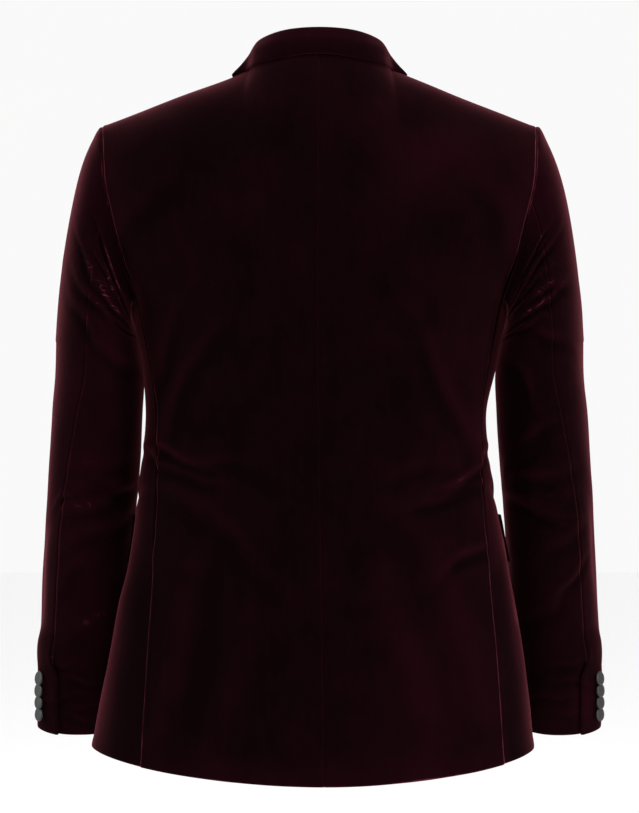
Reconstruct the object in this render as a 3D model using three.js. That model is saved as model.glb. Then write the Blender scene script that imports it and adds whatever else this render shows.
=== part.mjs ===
// A tailored jacket in velvet with side vents, worn open and hollow, as if a wearer filled it out.
// Millimetres: x to the wearer's left, y to the back, z up.
// The origin lies midway between the two points where the shoulder seams meet the collar.

import * as THREE from "three";

// Driving dimensions
const clothThickness = 2;
const seamGap = 0.3;
const hemHeight = -686; // at the side
const ventTop = -470;
const armholeBottom = -230;
const bladeHeight = -110; // above it the body closes over the shoulders
const breakHeight = -362; // where the lapel starts to roll
const roundness = 2.2; // 2 is an ellipse, more is squarer
const neckPoint = { x: 71, y: 5, z: 2 };
const shoulderPoint = { x: 221, y: 0, z: -56 };
const shoulderSag = 1.4;
const napePoint = { x: 0, y: 70, z: 14 };
const neckShare = 0.32; // share of the back's width that the neckline takes
const hemDropBack = 26;
const hemDropFront = 8;
const hemDropStart = -560;
const skirtTurn = 4.6; // how far the skirt swings round at the hem
const skirtTurnStart = -300;
const armholeDip = 15;
const armholeDipStart = -300;
const ventLift = 3.2;
const underlap = 0.1; // radians
const frontLap = 3.2;
const frontLapAtRoll = 6.8; // the left front rides over the right lapel
const lapClear = 22;
const sleeveTop = -56;
const sleeveRound = 2.3;
const bicepsHeight = -275;
const underarmEase = 3.5;
const cuffHeight = -668;
const cuffVentTop = -585;
const cuffLift = 3.7;
const cuffLap = 0.03; // share of the way round the sleeve
const buttonRadius = 7.5;
const buttonHeight = 2.6;
const cuffButtonTurn = 0.037;
const cuffButtonFirst = -612;
const cuffButtonPitch = 12.9;
const cuffButtonTilt = 0.27;
const frontButtonRadius = 10.5;
const frontButtonHeight = 4;

// Rings of the body. left and right are half widths, back and front are depths from the shoulder plane.
// backHalf and frontHalf are how far out the back and the front reach, edge is where the front ends.
const body = [
  { h: -686, left: 231.5, right: 218.5, back: 124, front: 120, backHalf: 179, frontHalf: 200, edge: 42 },
  { h: -640, left: 224, right: 214, back: 123, front: 120, backHalf: 176, frontHalf: 192, edge: 14 },
  { h: -590, left: 214.5, right: 207.5, back: 121, front: 120, backHalf: 172, frontHalf: 183, edge: 0 },
  { h: -540, left: 205.5, right: 200, back: 118, front: 120, backHalf: 168, frontHalf: 174, edge: -8 },
  { h: -505, left: 195.5, right: 193, back: 115, front: 120, backHalf: 166, frontHalf: 167, edge: -11 },
  { h: -478, left: 190.5, right: 188, back: 112, front: 121, backHalf: 166, frontHalf: 162, edge: -12 },
  { h: -455, left: 187.5, right: 183, back: 109, front: 122, backHalf: 165, frontHalf: 158, edge: -13 },
  { h: -420, left: 184, right: 176.5, back: 105, front: 124, backHalf: 164, frontHalf: 154, edge: -14 },
  { h: -385, left: 180, right: 172, back: 102, front: 127, backHalf: 163, frontHalf: 151, edge: -14 },
  { h: -345, left: 177, right: 170.5, back: 103, front: 130, backHalf: 164, frontHalf: 150, edge: -9 },
  { h: -300, left: 179.6, right: 179.6, back: 107, front: 134, backHalf: 170, frontHalf: 155, edge: 2 },
  { h: -262, left: 185.6, right: 185.6, back: 112, front: 137, backHalf: 177, frontHalf: 165, edge: 11 },
  { h: -230, left: 191, right: 191, back: 116, front: 138, backHalf: 185, frontHalf: 175, edge: 19 },
  { h: -192, left: 214, right: 214, back: 118, front: 134, backHalf: 197, frontHalf: 180, edge: 28 },
  { h: -162, left: 226, right: 226, back: 117, front: 126, backHalf: 204, frontHalf: 184, edge: 35 },
  { h: -127, left: 238, right: 238, back: 112, front: 111, backHalf: 213, frontHalf: 190, edge: 44 },
  { h: -110, left: 243, right: 243, back: 109, front: 102, backHalf: 216, frontHalf: 194, edge: 48 },
];

// Sections of the sleeve below the armhole. x and y are its middle, wide and deep its half sizes.
// pitch tips the section with the forearm, twist turns it in plan, both in degrees.
const sleeve = [
  { h: -668, x: 250.5, y: -103, wide: 47, deep: 48, pitch: 18, twist: 0 },
  { h: -620, x: 249.7, y: -90, wide: 47, deep: 50, pitch: 18, twist: 0 },
  { h: -560, x: 244, y: -70, wide: 47, deep: 53, pitch: 17, twist: 0 },
  { h: -500, x: 240, y: -48, wide: 46, deep: 55, pitch: 15, twist: 0 },
  { h: -440, x: 234.6, y: -27, wide: 46.2, deep: 58, pitch: 11, twist: 0 },
  { h: -385, x: 229.5, y: -11, wide: 46.8, deep: 61, pitch: 5, twist: 4 },
  { h: -345, x: 226.8, y: -4, wide: 46, deep: 64, pitch: 2, twist: 7 },
  { h: -310, x: 224.8, y: -3, wide: 44.5, deep: 67, pitch: 1, twist: 9 },
  { h: -275, x: 227, y: -2, wide: 41.5, deep: 70, pitch: 0, twist: 9 },
];

// How far round the sleeve its elbow seam lies, from the outermost line towards the back.
const elbowSeam = [
  { h: -668, turn: 0.15 },
  { h: -560, turn: 0.15 },
  { h: -440, turn: 0.155 },
  { h: -345, turn: 0.17 },
  { h: -275, turn: 0.185 },
  { h: -56, turn: 0.21 },
];
const forearmSeam = 0.69;

// Share of the front's width that the lapel covers.
const lapelReach = [
  { h: -362, share: 0.02 },
  { h: -330, share: 0.115 },
  { h: -300, share: 0.2 },
  { h: -230, share: 0.3 },
  { h: -162, share: 0.41 },
  { h: -110, share: 0.53 },
  { h: -60, share: 0.58 },
];

// The collar, from the centre back to its front end on one side.
// The seam and the falling edge are places on a panel, the fold stands above the seam and the fall is
// fuller or flatter between.
const collarStations = [
  { panel: "back", seam: [0, 0], edge: [0, -10.5], up: 22.5, out: -4, full: 4 },
  { panel: "back", seam: [0.11, 0], edge: [0.125, -15], up: 22.5, out: -5, full: 4 },
  { panel: "back", seam: [0.22, 0], edge: [0.23, -17], up: 21, out: -6.5, full: 3 },
  { panel: "back", seam: [0.275, 0], edge: [0.34, -14], up: 18, out: -6.5, full: 2.5 },
  { panel: "back", seam: [0.32, 0], edge: [0.405, -8], up: 15, out: -6, full: 0.5 },
  { panel: "front", seam: [1, -8], edge: [0.865, -7], up: 13.5, out: -5, full: 0.5 },
  { panel: "front", seam: [1, -17], edge: [0.805, -16], up: 13, out: -3, full: 1.5 },
  { panel: "front", seam: [1, -31], edge: [0.735, -33], up: 13, out: -1, full: 3 },
  { panel: "front", seam: [1, -48], edge: [0.66, -52], up: 12, out: 0, full: 3 },
];

// The largest creases of the sleeves. length, width and depth in millimetres, slant in degrees.
const sleeveCreases = [
  { side: 1, turn: 0.27, h: -452, length: 42, width: 8, depth: 3.2, slant: 12 },
  { side: 1, turn: 0.3, h: -418, length: 34, width: 9, depth: 2.4, slant: -14 },
  { side: 1, turn: 0.24, h: -168, length: 30, width: 10, depth: 2.6, slant: 38 },
  { side: 1, turn: 0.25, h: -232, length: 32, width: 11, depth: 2.2, slant: 30 },
  { side: -1, turn: 0.28, h: -436, length: 44, width: 9, depth: 3.2, slant: -16 },
  { side: -1, turn: 0.24, h: -398, length: 30, width: 9, depth: 2.4, slant: 10 },
  { side: -1, turn: 0.26, h: -166, length: 28, width: 10, depth: 2.4, slant: -6 },
  { side: -1, turn: 0.25, h: -240, length: 34, width: 11, depth: 2.6, slant: -12 },
];

const velvet = { color: 0x22090f, roughness: 0.95, metalness: 0 };
const satin = { color: 0x36383a, roughness: 0.6, metalness: 0 };

function mix(a, b, t) {
  return a + (b - a) * t;
}

function ease(t) {
  const s = Math.min(Math.max(t, 0), 1);
  return s * s * (3 - 2 * s);
}

// Smooth value of one column of a table at h. The rows of a table run upwards in h.
function read(table, name, h) {
  const last = table.length - 1;
  let i = 0;
  while (i < last - 1 && h > table[i + 1].h) {
    i += 1;
  }
  const row = (k) => table[Math.min(Math.max(k, 0), last)];
  const slope = (k) => (row(k + 1)[name] - row(k - 1)[name]) / (row(k + 1).h - row(k - 1).h);
  const span = row(i + 1).h - row(i).h;
  const t = Math.min(Math.max((h - row(i).h) / span, 0), 1);
  const start = slope(i) * span;
  const end = slope(i + 1) * span;
  const bend = t * t * t - 2 * t * t + t;
  const tail = t * t * t - t * t;
  return mix(row(i)[name], row(i + 1)[name], ease(t)) + bend * start + tail * end;
}

function blendPoints(a, b, t) {
  return new THREE.Vector3(mix(a.x, b.x, t), mix(a.y, b.y, t), mix(a.z, b.z, t));
}

// Angle from the middle line at which a ring reaches this share of its half width.
function turnTo(share) {
  const cotangent = (Math.abs(share) ** -roundness - 1) ** (1 / roundness);
  return Math.atan2(1, cotangent) * Math.sign(share);
}

function squareness(angle, power) {
  const sum = Math.abs(Math.sin(angle)) ** power + Math.abs(Math.cos(angle)) ** power;
  return sum ** (-1 / power);
}

// The hem hangs lowest at the centre back, is highest at the side and lower again in front.
function hemDrop(angle, h) {
  const cosine = Math.cos(angle);
  const drop = hemDropBack * Math.max(cosine, 0) ** 2 - hemDropFront * Math.min(cosine, 0);
  return drop * ease((hemDropStart - h) / (hemDropStart - hemHeight));
}

function halfWidth(side, h) {
  return read(body, side > 0 ? "left" : "right", h);
}

// A point of a body ring. The angle runs from the centre back, 0, round the side to the front.
function ringPoint(side, angle, h) {
  const k = squareness(angle, roundness);
  const depth = Math.cos(angle) > 0 ? read(body, "back", h) : read(body, "front", h);
  const turned = skirtTurn * ease((skirtTurnStart - h) / (skirtTurnStart - hemHeight));
  return new THREE.Vector3(
    halfWidth(side, h) * k * Math.sin(angle) - side * turned * k * Math.cos(angle),
    depth * k * Math.cos(angle),
    h - hemDrop(angle, h),
  );
}

function backAngle(side, h) {
  return turnTo(read(body, "backHalf", h) / halfWidth(side, h));
}

function frontAngle(side, h) {
  return Math.PI - turnTo(read(body, "frontHalf", h) / halfWidth(side, h));
}

function edgeAngle(side, h) {
  return Math.PI - turnTo(read(body, "edge", h) / halfWidth(side, h));
}

// Closes a panel over the shoulder: from the ring at blade height to the top line, on a rounded path.
function overShoulder(base, top, h, rounding) {
  const w = (h - bladeHeight) / -bladeHeight;
  const away = mix(1 - w, Math.cos((w * Math.PI) / 2), rounding);
  const rise = mix(w, Math.sin((w * Math.PI) / 2), rounding);
  return new THREE.Vector3(mix(base.x, top.x, w), mix(top.y, base.y, away), mix(base.z, top.z, rise));
}

function shoulderSeam(share) {
  const point = blendPoints(neckPoint, shoulderPoint, share);
  point.z -= shoulderSag * Math.sin(Math.PI * share);
  return point;
}

// The back's top line: half the neckline, then the shoulder seam.
function backTopLine(u) {
  if (u > neckShare) {
    return shoulderSeam((u - neckShare) / (1 - neckShare));
  }
  const angle = (u / neckShare) * (Math.PI / 2);
  const near = Math.cos(angle);
  return new THREE.Vector3(
    neckPoint.x * Math.sin(angle),
    mix(neckPoint.y, napePoint.y, near),
    mix(neckPoint.z, napePoint.z, near),
  );
}

// Half the back: u from the centre seam, 0, to the side seam and armhole, 1.
function backPoint(side, u, h) {
  if (h <= bladeHeight) {
    return ringPoint(side, u * backAngle(side, h), h);
  }
  const base = ringPoint(side, u * backAngle(side, bladeHeight), bladeHeight);
  return overShoulder(base, backTopLine(u), h, mix(0.6, 1, ease(u / 0.6)));
}

// The side body: u from the back seam, 0, to the front seam, 1. Its top dips to make the armhole.
function sidePoint(side, u, h) {
  const point = ringPoint(side, mix(backAngle(side, h), frontAngle(side, h), u), h);
  const dip = ease((h - armholeDipStart) / (armholeBottom - armholeDipStart));
  point.z -= armholeDip * dip * Math.sin(Math.PI * Math.min(Math.max(u, 0), 1));
  return point;
}

// A front: u from the side seam and armhole, 0, to the front edge or the lapel's roll line, 1.
function frontPoint(side, u, h) {
  const low = Math.min(h, bladeHeight);
  const angle = mix(frontAngle(side, low), edgeAngle(side, low), u);
  const base = ringPoint(side, angle, low);
  if (side > 0) {
    const lap = mix(frontLap, frontLapAtRoll, ease((low - breakHeight + 45) / 45));
    base.y -= lap * (1 - ease((base.x - lapClear) / lapClear));
  }
  if (h <= bladeHeight) {
    return base;
  }
  return overShoulder(base, shoulderSeam(1 - u), h, mix(1, 0.5, u));
}

// The armhole, as shares of the way round: shoulder, back edge, side body's top, front edge, shoulder.
function armholePoint(side, turn) {
  const backEnd = 0.385;
  const frontStart = 0.585;
  const bladeShare = 0.41;
  const heightAt = (f) =>
    f < bladeShare
      ? mix(0, bladeHeight, f / bladeShare)
      : mix(bladeHeight, armholeBottom, (f - bladeShare) / (1 - bladeShare));
  const t = turn - Math.floor(turn);
  if (t < backEnd) {
    return backPoint(side, 1, heightAt(t / backEnd));
  }
  if (t > frontStart) {
    return frontPoint(side, 0, heightAt((1 - t) / (1 - frontStart)));
  }
  return sidePoint(side, (t - backEnd) / (frontStart - backEnd), armholeBottom);
}

function sleeveSection(turn, h) {
  const angle = turn * 2 * Math.PI;
  const k = squareness(angle, sleeveRound);
  const pitch = THREE.MathUtils.degToRad(read(sleeve, "pitch", h));
  const twist = THREE.MathUtils.degToRad(read(sleeve, "twist", h));
  const across = read(sleeve, "wide", h) * k * Math.cos(angle);
  const along = read(sleeve, "deep", h) * k * Math.sin(angle);
  const turnedX = across * Math.cos(twist) - along * Math.sin(twist);
  const turnedY = across * Math.sin(twist) + along * Math.cos(twist);
  return new THREE.Vector3(
    read(sleeve, "x", h) + turnedX,
    read(sleeve, "y", h) + turnedY * Math.cos(pitch),
    h - turnedY * Math.sin(pitch),
  );
}

// The sleeve: turn is the share of the way round from its outermost line, h falls from the shoulder.
function sleevePoint(side, turn, h) {
  if (h <= bicepsHeight) {
    return sleeveSection(turn, h);
  }
  const cap = 0.7;
  const ropeHeight = 2.2;
  const w = (sleeveTop - h) / (sleeveTop - bicepsHeight);
  const start = armholePoint(side, turn);
  const end = sleeveSection(turn, bicepsHeight);
  const out = mix(w, Math.sin((w * Math.PI) / 2), cap);
  const down = mix(w, 1 - Math.cos((w * Math.PI) / 2), cap);
  const nearTop = Math.max(Math.cos(turn * 2 * Math.PI), 0);
  const rope = ropeHeight * Math.exp(-(((w - 0.07) / 0.06) ** 2)) * nearTop;
  const underarm = underarmEase * Math.sin(Math.PI * w) * Math.max(-Math.cos(turn * 2 * Math.PI), 0);
  return new THREE.Vector3(
    mix(start.x, end.x, out) + 2 * seamGap + underarm,
    mix(start.y, end.y, ease(w)),
    mix(start.z, end.z, down) + rope,
  );
}

// How far the creases push the sleeve in at one place.
function sleeveCrease(side, turn, h) {
  const girth = 340;
  let depth = 0;
  for (const crease of sleeveCreases.filter((one) => one.side === side)) {
    const slant = THREE.MathUtils.degToRad(crease.slant);
    const around = (turn - crease.turn) * girth;
    const along = around * Math.cos(slant) + (h - crease.h) * Math.sin(slant);
    const across = -around * Math.sin(slant) + (h - crease.h) * Math.cos(slant);
    depth += crease.depth * Math.exp(-((along / crease.length) ** 2) - (across / crease.width) ** 2);
  }
  return -depth;
}

// Direction out of a surface, from two short steps on it.
function outward(surface, u, v, stepU, stepV) {
  const acrossStep = surface(u + stepU, v).sub(surface(u - stepU, v)).normalize();
  const upStep = surface(u, v + stepV).sub(surface(u, v - stepV)).normalize();
  return { acrossStep, upStep, normal: upStep.clone().cross(acrossStep).normalize() };
}

// A closed wall of cloth through a grid of places on a surface, kept half a seam gap inside its border.
// Along a ridge seam, in the last row, the wall's edge stands upright so that two panels can meet there.
function clothWall(surface, us, vs, side, liftAt = () => 0, ridge = () => false) {
  const border = seamGap / 2;
  const outer = [];
  const inner = [];
  const uStep = (us.at(-1) - us[0]) / 400;
  const vStep = (vs.at(-1) - vs[0]) / 400;
  vs.forEach((v, j) => {
    us.forEach((u, i) => {
      const uIn = u + (i === 0 ? uStep : i === us.length - 1 ? -uStep : 0);
      const vIn = v + (j === 0 ? vStep : j === vs.length - 1 ? -vStep : 0);
      const frame = outward(surface, uIn, vIn, uStep, vStep);
      const place = surface(u, v);
      place.addScaledVector(frame.acrossStep, i === 0 ? border : i === us.length - 1 ? -border : 0);
      place.addScaledVector(frame.upStep, j === 0 ? border : j === vs.length - 1 ? -border : 0);
      if (j === vs.length - 1 && ridge(u)) {
        frame.normal.setY(0).normalize();
      }
      const lift = liftAt(u, v);
      outer.push(place.clone().addScaledVector(frame.normal, lift));
      inner.push(place.clone().addScaledVector(frame.normal, lift - clothThickness));
    });
  });
  return closeWall(outer, inner, us.length, vs.length, side);
}

// Joins two grids of the same layout into one closed body. side -1 mirrors it in x.
function closeWall(outer, inner, columns, rows, side) {
  const points = outer.concat(inner);
  const count = outer.length;
  const faces = [];
  const quad = (a, b, c, d) => {
    faces.push([a, b, c], [a, c, d]);
  };
  for (let j = 0; j < rows - 1; j += 1) {
    for (let i = 0; i < columns - 1; i += 1) {
      const a = j * columns + i;
      const b = a + 1;
      const c = b + columns;
      const d = a + columns;
      quad(a, d, c, b);
      quad(a + count, b + count, c + count, d + count);
    }
  }
  for (let i = 0; i < columns - 1; i += 1) {
    const low = i;
    const high = (rows - 1) * columns + i;
    quad(low, low + 1, low + 1 + count, low + count);
    quad(high, high + count, high + 1 + count, high + 1);
  }
  for (let j = 0; j < rows - 1; j += 1) {
    const near = j * columns;
    const far = near + columns - 1;
    quad(near, near + count, near + columns + count, near + columns);
    quad(far, far + columns, far + columns + count, far + count);
  }
  const order = side > 0 ? [0, 1, 2] : [0, 2, 1];
  const position = points.flatMap((p) => [p.x * side, p.y, p.z]);
  const index = faces.flatMap((face) => order.map((k) => face[k]));
  const geometry = new THREE.BufferGeometry();
  geometry.setAttribute("position", new THREE.Float32BufferAttribute(position, 3));
  geometry.setIndex(index);
  geometry.computeVertexNormals();
  return geometry;
}

function addMesh(group, name, geometry, finish) {
  const mesh = new THREE.Mesh(geometry, new THREE.MeshStandardMaterial(finish));
  mesh.name = name;
  group.add(mesh);
  return mesh;
}

function evenly(from, to, count) {
  return Array.from({ length: count + 1 }, (_, i) => mix(from, to, i / count));
}

const bodyRows = [
  ...evenly(hemHeight, -490, 7),
  ...evenly(-465, -265, 8),
  ...evenly(armholeBottom, bladeHeight, 5),
  ...evenly(-92, 0, 5),
];
const sideRows = bodyRows.filter((h) => h <= armholeBottom);
const backColumns = [0, 0.1, 0.21, neckShare, 0.44, 0.56, 0.68, 0.76, 0.84, 0.92, 1];
const sleeveRows = [...evenly(sleeveTop, -250, 9), ...evenly(-275, -375, 4), ...evenly(-390, -480, 8)];
const forearmRows = evenly(-510, cuffHeight, 6);

// Half the back. Below the vent's top it lifts over the side body's underlap.
function makeBack(group, side, label) {
  const surface = (u, h) => backPoint(side, u, h);
  const lift = (u, h) => ventLift * ease((ventTop - h) / 25) * ease((u - 0.6) / 0.22);
  const onSeam = (u) => u >= neckShare;
  addMesh(group, "back_" + label, clothWall(surface, backColumns, bodyRows, side, lift, onSeam), velvet);
}

// The side body. Below the vent's top it runs on under the back.
function makeSide(group, side, label) {
  const surface = (u, h) => {
    const under = underlap * ease((ventTop - 22 - h) / 30) * (1 - ease(u / 0.5));
    const reach = under / (frontAngle(side, h) - backAngle(side, h));
    return sidePoint(side, u - reach, h);
  };
  addMesh(group, "side_" + label, clothWall(surface, evenly(0, 1, 5), sideRows, side), velvet);
}

function makeFront(group, side, label) {
  const surface = (u, h) => frontPoint(side, u, h);
  const wall = clothWall(surface, evenly(0, 1, 10), bodyRows, side, undefined, () => true);
  addMesh(group, "front_" + label, wall, velvet);
}

// The lapel lies on the front, fuller at its roll line. Its top follows the collar's end.
function makeLapel(group, side, label) {
  const topInner = -52;
  const topOuter = -70;
  const rollFullness = 3;
  const onFront = (u, h) => frontPoint(side, u, h);
  const surface = (u, v) => {
    const share = (v - breakHeight) / (topInner - breakHeight);
    const h = v - (topInner - topOuter) * (1 - u) * ease(share);
    const across = 1 - read(lapelReach, "share", h) * (1 - u);
    const lift = clothThickness + 1.1 + rollFullness * u * u * ease(share * 2.4);
    return onFront(across, h).addScaledVector(outward(onFront, across, h, 0.002, 0.5).normal, lift);
  };
  const rows = evenly(breakHeight, topInner, 14);
  addMesh(group, "lapel_" + label, clothWall(surface, evenly(0, 1, 5), rows, side), velvet);
}

// A point at a place on a panel, lifted off it.
function liftedPoint(panel, [u, h], lift) {
  const on = (a, b) => panel(-1, a, b);
  return on(u, h).addScaledVector(outward(on, u, h, 0.002, 0.5).normal, lift);
}

// Level direction away from the neck at one point of the neckline, square to its neighbours' line.
function awayFromNeck(seams, k) {
  const before = k > 0 ? seams[k - 1] : new THREE.Vector3(-seams[1].x, seams[1].y, seams[1].z);
  const after = seams[Math.min(k + 1, seams.length - 1)];
  return new THREE.Vector3(before.y - after.y, after.x - before.x, 0).normalize();
}

// A folded section at one station: the fall's edge, up to the fold, and down the stand to the seam.
function collarSection(station, seam, away) {
  const panel = station.panel === "back" ? backPoint : frontPoint;
  const edge = liftedPoint(panel, station.edge, clothThickness + 1.8);
  const fold = seam.clone().addScaledVector(away, station.out);
  fold.z += station.up;
  const round = 3.4;
  const middle = blendPoints(edge, fold, 0.5).addScaledVector(away, station.full);
  middle.z += 2;
  return [
    edge,
    middle,
    fold.clone().addScaledVector(away, 1.7 * round).setZ(fold.z - round),
    fold.clone().addScaledVector(away, 0.7 * round),
    fold.clone().addScaledVector(away, -round * 0.2).setZ(fold.z - round * 0.6),
    blendPoints(fold, seam, 0.55).addScaledVector(away, -0.8),
    seam,
  ];
}

// Collar: a fold line round the neck with the stand inside it and the fall outside.
function makeCollar(group) {
  const seams = collarStations.map(({ panel, seam }) =>
    liftedPoint(panel === "back" ? backPoint : frontPoint, [seam[0], Math.min(seam[1], -1)], 0.8),
  );
  const sections = collarStations.map((row, k) => collarSection(row, seams[k], awayFromNeck(seams, k)));
  const lines = sections[0].map((_, k) => sections.map((section) => section[k]));
  const around = (points, s) => {
    const mirrored = points.slice(1).reverse().map((p) => new THREE.Vector3(-p.x, p.y, p.z));
    const curve = new THREE.CatmullRomCurve3(mirrored.concat(points), false, "centripetal");
    return curve.getPoint((s + 1) / 2);
  };
  const surface = (s, t) => {
    const clamped = Math.min(Math.max(s, -1), 1);
    const profile = lines.map((points) => around(points, clamped));
    return new THREE.CatmullRomCurve3(profile, false, "centripetal").getPoint(Math.min(Math.max(t, 0), 1));
  };
  addMesh(group, "collar", clothWall(surface, evenly(-1, 1, 32), evenly(0, 1, 12), 1), velvet);
}

// A hip pocket flap on the front and the side body, a little proud at its rear corner.
function makePocketFlap(group, side, label) {
  const rear = THREE.MathUtils.degToRad(91);
  const fore = THREE.MathUtils.degToRad(152);
  const flapBottom = -500;
  const flapTop = -452;
  const surface = (u, h) => ringPoint(side, mix(rear, fore, u), h);
  const lift = (u) => clothThickness + 0.8 + 1.6 * (1 - ease(u / 0.15));
  const wall = clothWall(surface, evenly(0, 1, 9), evenly(flapBottom, flapTop, 3), side, lift);
  addMesh(group, "pocket_flap_" + label, wall, velvet);
}

// Top sleeve and under sleeve, with a vent at the cuff where the top sleeve laps over.
function makeSleeve(group, side, label) {
  const rows = sleeveRows.concat(forearmRows);
  const columns = [0, 0.15, 0.3, 0.45, 0.6, 0.72, 0.84, 0.91, 1];
  const seamAt = (h) => read(elbowSeam, "turn", h);
  const ventAt = (h) => ease((cuffVentTop - h) / 25);
  const liftAt = (h) => ease((cuffVentTop + 28 - h) / 25);
  const topTurn = (u, h) => mix(forearmSeam - 1, seamAt(h) + cuffLap * ventAt(h), u);
  const underTurn = (u, h) => mix(seamAt(h), forearmSeam, u);
  const creased = (turnAt) => (u, h) => sleeveCrease(side, turnAt(u, h), h);
  const topLift = (u, h) => creased(topTurn)(u, h) + cuffLift * liftAt(h) * ease((u - 0.72) / 0.12);
  const topSurface = (u, h) => sleevePoint(side, topTurn(u, h), h);
  const underSurface = (u, h) => sleevePoint(side, underTurn(u, h), h);
  addMesh(group, "top_sleeve_" + label, clothWall(topSurface, columns, rows, side, topLift), velvet);
  const underWall = clothWall(underSurface, columns, rows, side, creased(underTurn));
  addMesh(group, "under_sleeve_" + label, underWall, velvet);
}

// A covered button: a low dome on a flat back, turned about y.
function buttonGeometry(radius, height) {
  const profile = [
    new THREE.Vector2(0, 0),
    new THREE.Vector2(radius * 0.86, 0),
    new THREE.Vector2(radius, height * 0.4),
    new THREE.Vector2(radius * 0.8, height * 0.82),
    new THREE.Vector2(0, height),
  ];
  return new THREE.LatheGeometry(profile, 14);
}

// Sets a button on a surface, facing out of it and tipped a little so that a row of them can lap.
function placeButton(mesh, side, place, normal, tilt) {
  const facing = new THREE.Vector3(normal.x * side, normal.y, normal.z + tilt).normalize();
  mesh.position.set(place.x * side, place.y, place.z);
  mesh.quaternion.setFromUnitVectors(new THREE.Vector3(0, 1, 0), facing);
}

function makeCuffButtons(group, side, label) {
  const turnAt = (h) => read(elbowSeam, "turn", h) - cuffButtonTurn;
  const surface = (turn, h) => sleevePoint(side, turn, h);
  for (let n = 0; n < 4; n += 1) {
    const h = cuffButtonFirst - n * cuffButtonPitch;
    const { normal } = outward(surface, turnAt(h), h, 0.002, -0.5);
    const place = surface(turnAt(h), h).addScaledVector(normal, cuffLift + 1.7);
    const name = "cuff_button_" + label + "_" + (n + 1);
    const mesh = addMesh(group, name, buttonGeometry(buttonRadius, buttonHeight), satin);
    placeButton(mesh, side, place, normal, cuffButtonTilt);
  }
}

function makeFrontButton(group) {
  const place = frontPoint(1, 0.92, breakHeight - 12);
  const mesh = addMesh(group, "front_button", buttonGeometry(frontButtonRadius, frontButtonHeight), satin);
  placeButton(mesh, 1, new THREE.Vector3(0, place.y - 1.4, place.z), new THREE.Vector3(0, -1, 0), 0);
}

const jacket = new THREE.Group();
for (const [side, label] of [
  [1, "left"],
  [-1, "right"],
]) {
  makeBack(jacket, side, label);
  makeSide(jacket, side, label);
  makeFront(jacket, side, label);
  makeLapel(jacket, side, label);
  makePocketFlap(jacket, side, label);
  makeSleeve(jacket, side, label);
  makeCuffButtons(jacket, side, label);
}
makeCollar(jacket);
makeFrontButton(jacket);

export default jacket;
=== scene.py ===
# Dark burgundy velvet jacket, seen from behind, hollow as if worn.
# Tables are in millimetres, meshes in metres: x to the wearer's left, y to the back, z up.
import math

import bpy
import numpy as np
from mathutils import Matrix, Vector


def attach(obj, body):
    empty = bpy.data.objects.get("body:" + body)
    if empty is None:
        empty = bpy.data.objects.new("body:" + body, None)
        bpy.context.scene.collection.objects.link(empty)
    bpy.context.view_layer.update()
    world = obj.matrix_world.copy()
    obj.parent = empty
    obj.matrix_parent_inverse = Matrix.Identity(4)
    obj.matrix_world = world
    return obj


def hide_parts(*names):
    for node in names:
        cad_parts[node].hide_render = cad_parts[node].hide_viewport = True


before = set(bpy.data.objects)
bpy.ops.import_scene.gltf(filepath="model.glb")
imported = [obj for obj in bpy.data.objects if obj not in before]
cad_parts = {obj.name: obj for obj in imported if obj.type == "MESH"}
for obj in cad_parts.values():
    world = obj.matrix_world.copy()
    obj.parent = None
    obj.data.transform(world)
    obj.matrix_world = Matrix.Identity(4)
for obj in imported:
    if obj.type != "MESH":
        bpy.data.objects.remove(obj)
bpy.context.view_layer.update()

mm = 0.001
sides = {"left": 1, "right": -1}

# What a user would change about the whole jacket
jacket = {
    "hem": -686.0, "ventTop": -470.0, "armholeBottom": -230.0, "blade": -110.0, "breakLine": -362.0,
    "roundness": 2.2, "neck": (71.0, 5.0, 2.0), "shoulder": (221.0, 0.0, -56.0), "nape": (0.0, 70.0, 14.0),
    "neckShare": 0.32, "dropBack": 26.0, "dropFront": 8.0, "dropStart": -560.0,
    "armholeDip": 15.0, "dipStart": -300.0, "frontLap": 3.2, "lapAtRoll": 6.8, "lapClear": 22.0,
    "shoulderSag": 1.4, "skirtTurn": 4.6, "turnStart": -300.0, "clothThickness": 1.9, "rollOver": 45.0,
    "neckRounding": 0.6, "roundBy": 0.6, "frontRounding": 0.5,
}

# Rings of the body: half widths, depths, how far out back and front reach, and where the front ends
bodyColumns = ("h", "left", "right", "back", "front", "backHalf", "frontHalf", "edge")
bodyRings = [
    (-686, 231.5, 218.5, 124, 120, 179, 200, 42),
    (-640, 224, 214, 123, 120, 176, 192, 14),
    (-590, 214.5, 207.5, 121, 120, 172, 183, 0),
    (-540, 205.5, 200, 118, 120, 168, 174, -8),
    (-505, 195.5, 193, 115, 120, 166, 167, -11),
    (-478, 190.5, 188, 112, 121, 166, 162, -12),
    (-455, 187.5, 183, 109, 122, 165, 158, -13),
    (-420, 184, 176.5, 105, 124, 164, 154, -14),
    (-385, 180, 172, 102, 127, 163, 151, -14),
    (-345, 177, 170.5, 103, 130, 164, 150, -9),
    (-300, 179.6, 179.6, 107, 134, 170, 155, 2),
    (-262, 185.6, 185.6, 112, 137, 177, 165, 11),
    (-230, 191, 191, 116, 138, 185, 175, 19),
    (-192, 214, 214, 118, 134, 197, 180, 28),
    (-162, 226, 226, 117, 126, 204, 184, 35),
    (-127, 238, 238, 112, 111, 213, 190, 44),
    (-110, 243, 243, 109, 102, 216, 194, 48),
]

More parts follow.
